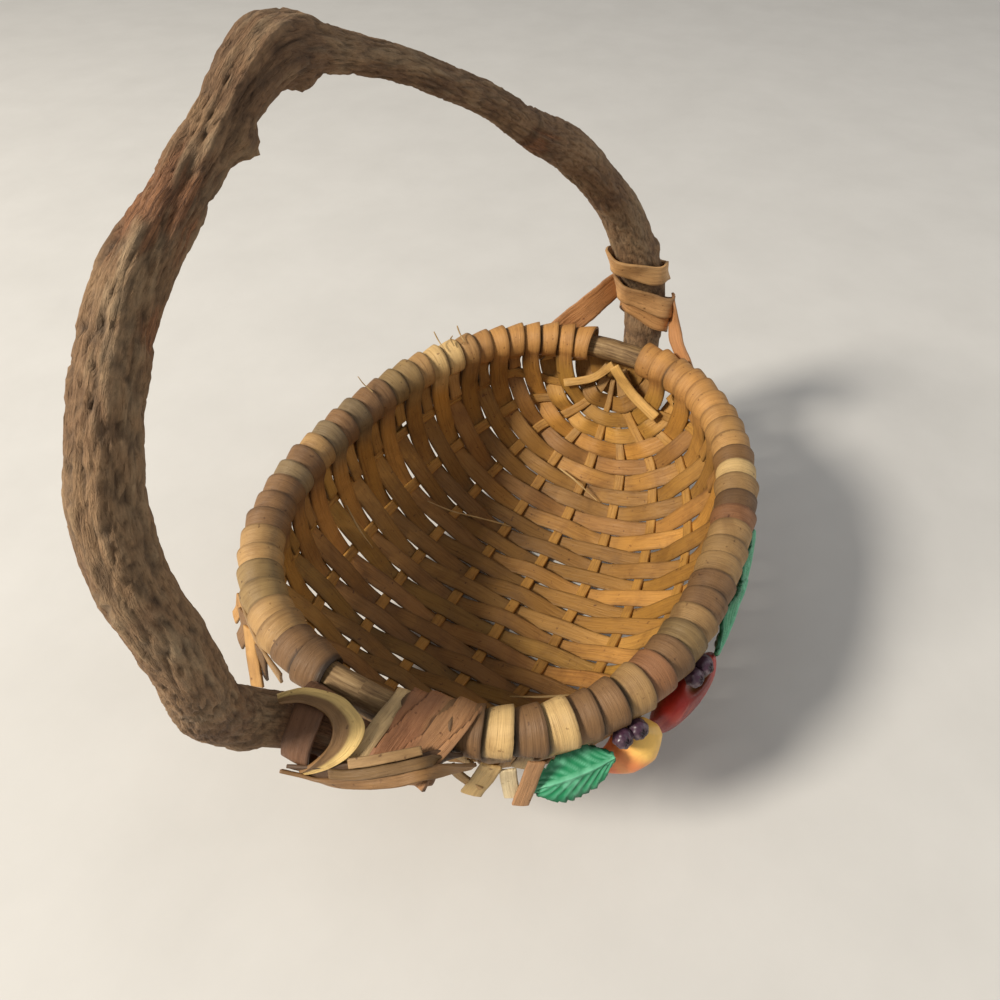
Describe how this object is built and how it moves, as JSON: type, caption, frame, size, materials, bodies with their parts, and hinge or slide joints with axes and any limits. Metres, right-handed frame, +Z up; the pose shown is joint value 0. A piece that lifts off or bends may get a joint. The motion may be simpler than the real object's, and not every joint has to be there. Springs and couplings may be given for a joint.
{
  "type": "gathering basket",
  "caption": "Small oval gathering basket with a rounded woven splint bowl, a wrapped twig rim, a gnarled branch handle and a glued fruit ornament on one side.",
  "frame": {"origin": "on the surface that the basket stands on, under the middle of its bounding box", "axes": "+X along the basket from the end where the handle has its elbow to the other end, +Y to the left when looking along +X, +Z up"},
  "size_m": [0.3296, 0.2108, 0.2875],
  "materials": {
    "bark": "rough bark, peeled in places",
    "lashing_splint": "matt, hand-split wood",
    "leaf_paint": "satin paint on cast resin",
    "purple_paint": "satin paint on cast resin",
    "red_paint": "satin paint on cast resin",
    "rib_splint": "matt, hand-split wood",
    "rim_twig": "matt peeled twig",
    "weaver_splint": "matt, hand-split wood",
    "yellow_paint": "satin paint on cast resin"
  },
  "bodies": {
    "root": {"berries_back": "purple_paint", "berries_front": "purple_paint", "far_band_lower": "lashing_splint", "far_band_middle": "lashing_splint", "far_band_upper": "lashing_splint", "far_strip_left": "lashing_splint", "far_strip_right": "lashing_splint", "fruit_red": "red_paint", "fruit_yellow": "yellow_paint", "handle_branch": "bark", "leaf_front": "leaf_paint", "leaves_back": "leaf_paint", "near_foot_band": "lashing_splint", "near_strip_left": "lashing_splint", "near_strip_under": "lashing_splint", "near_wide_splint": "lashing_splint", "near_wrap_1": "lashing_splint", "near_wrap_2": "lashing_splint", "rib_1": "rib_splint", "rib_2": "rib_splint", "rib_3": "rib_splint", "rib_4": "rib_splint", "rib_5": "rib_splint", "rib_6": "rib_splint", "rib_7": "rib_splint", "rib_8": "rib_splint", "rib_9": "rib_splint", "rim_hoop": "rim_twig", "weaver_01": "weaver_splint", "weaver_02": "weaver_splint", "weaver_03": "weaver_splint", "weaver_04": "weaver_splint", "weaver_05": "weaver_splint", "weaver_06": "weaver_splint", "weaver_07": "weaver_splint", "weaver_08": "weaver_splint", "weaver_09": "weaver_splint", "weaver_10": "weaver_splint", "weaver_11": "weaver_splint", "weaver_12": "weaver_splint", "weaver_13": "weaver_splint", "weaver_14": "weaver_splint", "weaver_15": "weaver_splint", "weaver_16": "weaver_splint", "weaver_17": "weaver_splint", "weaver_18": "weaver_splint", "weaver_19": "weaver_splint", "weaver_20": "weaver_splint", "weaver_21": "weaver_splint", "weaver_22": "weaver_splint", "weaver_23": "weaver_splint", "weaver_24": "weaver_splint", "weaver_25": "weaver_splint", "weaver_26": "weaver_splint", "weaver_27": "weaver_splint", "weaver_28": "weaver_splint", "weaver_29": "weaver_splint", "weaver_30": "weaver_splint", "weaver_31": "weaver_splint", "weaver_32": "weaver_splint"}
  },
  "joints": []
}
